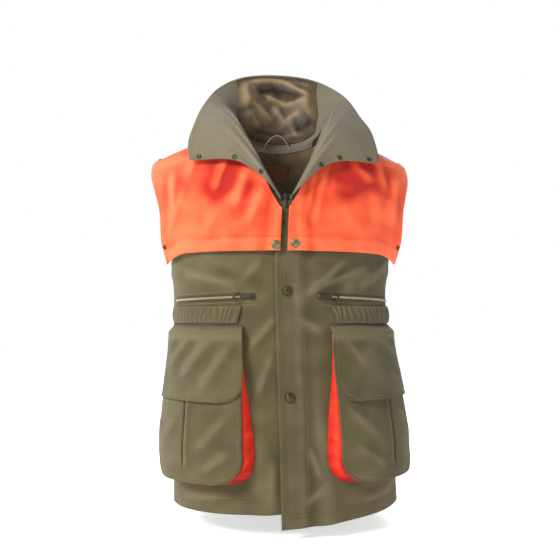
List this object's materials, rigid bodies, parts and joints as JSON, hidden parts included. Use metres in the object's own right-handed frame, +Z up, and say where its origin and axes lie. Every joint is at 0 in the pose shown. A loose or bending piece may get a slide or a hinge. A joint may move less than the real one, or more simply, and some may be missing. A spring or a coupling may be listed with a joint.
{
  "type": "hunting vest, worn form with no wearer",
  "caption": "Olive canvas hunting vest with a snapped-on orange shoulder yoke, laid-open collar and bellows cargo pockets.",
  "frame": {"origin": "between the wearer's shoulders, level with the neck end of the shoulder seams", "axes": "+Z up along the body, -Y to the front, +X to the wearer's left"},
  "size_m": [0.5062, 0.3015, 0.9163],
  "materials": {
    "olive_canvas": "dry cotton canvas",
    "olive_facing": "dry cotton canvas",
    "orange_cloth": "smooth woven polyester",
    "red_orange_cloth": "smooth woven polyester",
    "brown_lining": "soft lining with a low sheen",
    "grey_binding": "narrow tape",
    "dark_brass": "antique",
    "pale_brass": "antique",
    "zip_metal": "worn nickel",
    "black_enamel": "satin"
  },
  "bodies": {
    "vest": {"back": "olive_canvas", "back_lining": "brown_lining", "collar_facing": "olive_facing", "collar_lining": "brown_lining", "collar_outer": "orange_cloth", "collar_snap_1": "dark_brass", "collar_snap_2": "dark_brass", "collar_snap_3": "dark_brass", "collar_snap_4": "dark_brass", "collar_snap_5": "dark_brass", "collar_snap_6": "dark_brass", "flap_left": "olive_canvas", "flap_right": "olive_canvas", "front_left": "olive_canvas", "front_right": "olive_canvas", "gusset_left": "red_orange_cloth", "gusset_right": "red_orange_cloth", "hanger_loop": "grey_binding", "label": "olive_facing", "main_slider": "black_enamel", "main_zip": "black_enamel", "neck_binding": "grey_binding", "placket_snap_chest": "dark_brass", "placket_snap_high": "dark_brass", "placket_snap_low": "dark_brass", "pocket_left": "olive_canvas", "pocket_right": "olive_canvas", "pocket_slider_left": "zip_metal", "pocket_slider_right": "zip_metal", "pocket_zip_left": "black_enamel", "pocket_zip_right": "black_enamel", "shoulder_snap_left": "dark_brass", "shoulder_snap_right": "dark_brass", "waist_band_left": "olive_canvas", "waist_band_right": "olive_canvas", "yoke_back": "orange_cloth", "yoke_corner_snap_back_left": "dark_brass", "yoke_corner_snap_back_right": "dark_brass", "yoke_corner_snap_front_left": "dark_brass", "yoke_corner_snap_front_right": "dark_brass", "yoke_front_left": "orange_cloth", "yoke_front_right": "orange_cloth", "yoke_snap_left": "pale_brass", "yoke_snap_right": "pale_brass"},
    "main_pull": {"main_pull": "black_enamel"},
    "pocket_pull_left": {"pocket_pull_left": "zip_metal"},
    "pocket_pull_right": {"pocket_pull_right": "zip_metal"}
  },
  "joints": [
    {"name": "pocket_pull_left_swing", "type": "hinge", "parent": "vest", "child": "pocket_pull_left", "pos_m": [0.07384, -0.13387, -0.33565], "axis": [-0.0391, -0.008, -0.9992], "range_deg": [0, 90]},
    {"name": "pocket_pull_right_swing", "type": "hinge", "parent": "vest", "child": "pocket_pull_right", "pos_m": [-0.07195, -0.1337, -0.33569], "axis": [-0.041, 0.0031, 0.9992], "range_deg": [0, 90]},
    {"name": "main_pull_swing", "type": "hinge", "parent": "vest", "child": "main_pull", "pos_m": [0, -0.13155, -0.15692], "axis": [-1, 0, 0], "range_deg": [0, 90]}
  ]
}
